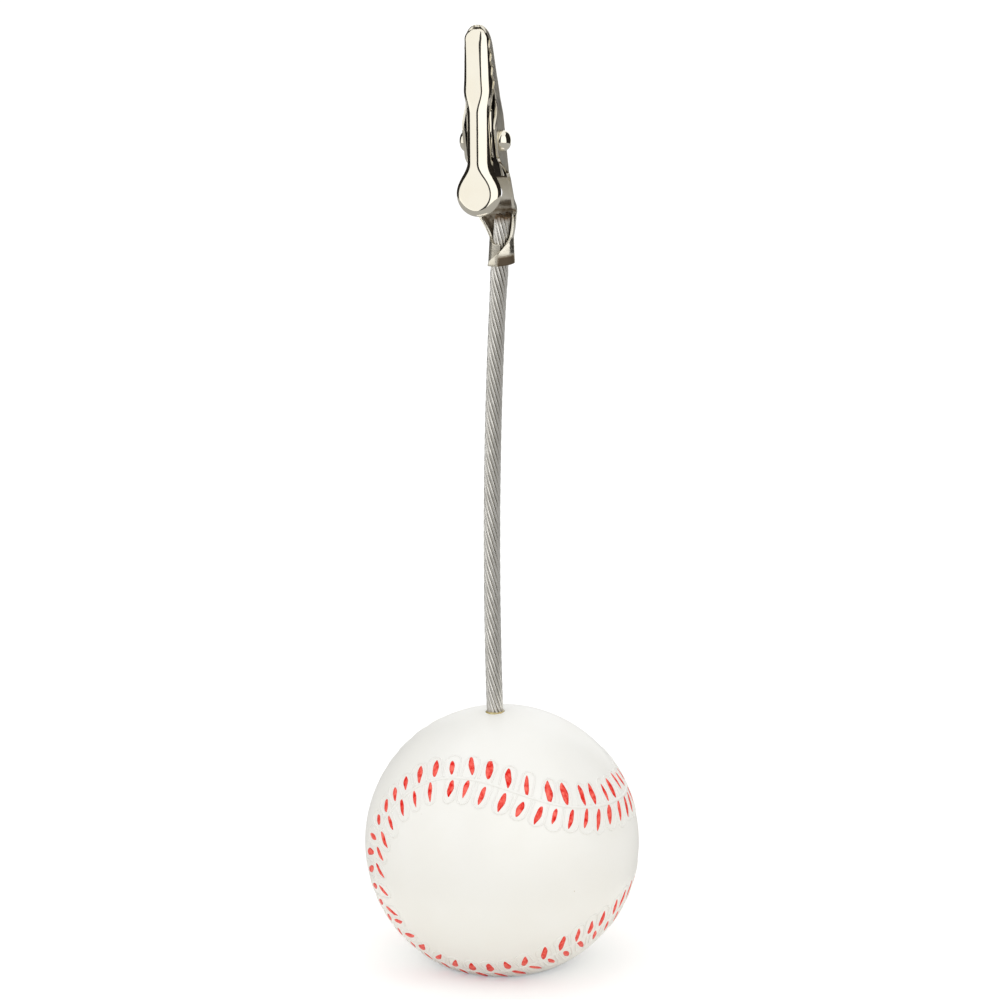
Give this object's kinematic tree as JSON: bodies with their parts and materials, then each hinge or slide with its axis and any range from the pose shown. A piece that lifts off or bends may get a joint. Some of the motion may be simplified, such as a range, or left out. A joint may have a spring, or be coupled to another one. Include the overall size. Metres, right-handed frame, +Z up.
{
  "type": "memo clip holder",
  "caption": "Desk memo holder: a spring clip crimped on a bowed stranded wire stalk that stands in a flat-footed moulded baseball.",
  "frame": {"origin": "middle of the flat foot under the ball", "axes": "+Z up the stalk, front of the ball and thumb pad of the clip towards -Y"},
  "size_m": [0.045, 0.045, 0.156],
  "materials": {
    "ball": "satin moulded off-white",
    "stitch_marks": "red paint",
    "glue_ring": "hardened amber glue",
    "wire_stalk": "bright drawn steel wires",
    "fixed_jaw": "bright nickel plating",
    "moving_jaw": "bright nickel plating",
    "pivot_rivet": "bright nickel plating",
    "jaw_spring": "plain spring steel"
  },
  "bodies": {
    "base": {"ball": "ball", "stitch_marks": "stitch_marks", "glue_ring": "glue_ring", "wire_stalk": "wire_stalk", "fixed_jaw": "fixed_jaw", "pivot_rivet": "pivot_rivet", "jaw_spring": "jaw_spring"},
    "jaw": {"moving_jaw": "moving_jaw"}
  },
  "joints": [
    {"name": "jaw_pivot", "type": "hinge", "parent": "base", "child": "jaw", "pos_m": [-0.00277, -0.00676, 0.13763], "axis": [0.9432, -0.3248, 0.0698], "range_deg": [0, 24], "stiffness_Nm_per_rad": 0.02, "springref_deg": -34.38, "deforming": ["jaw_spring"]}
  ]
}
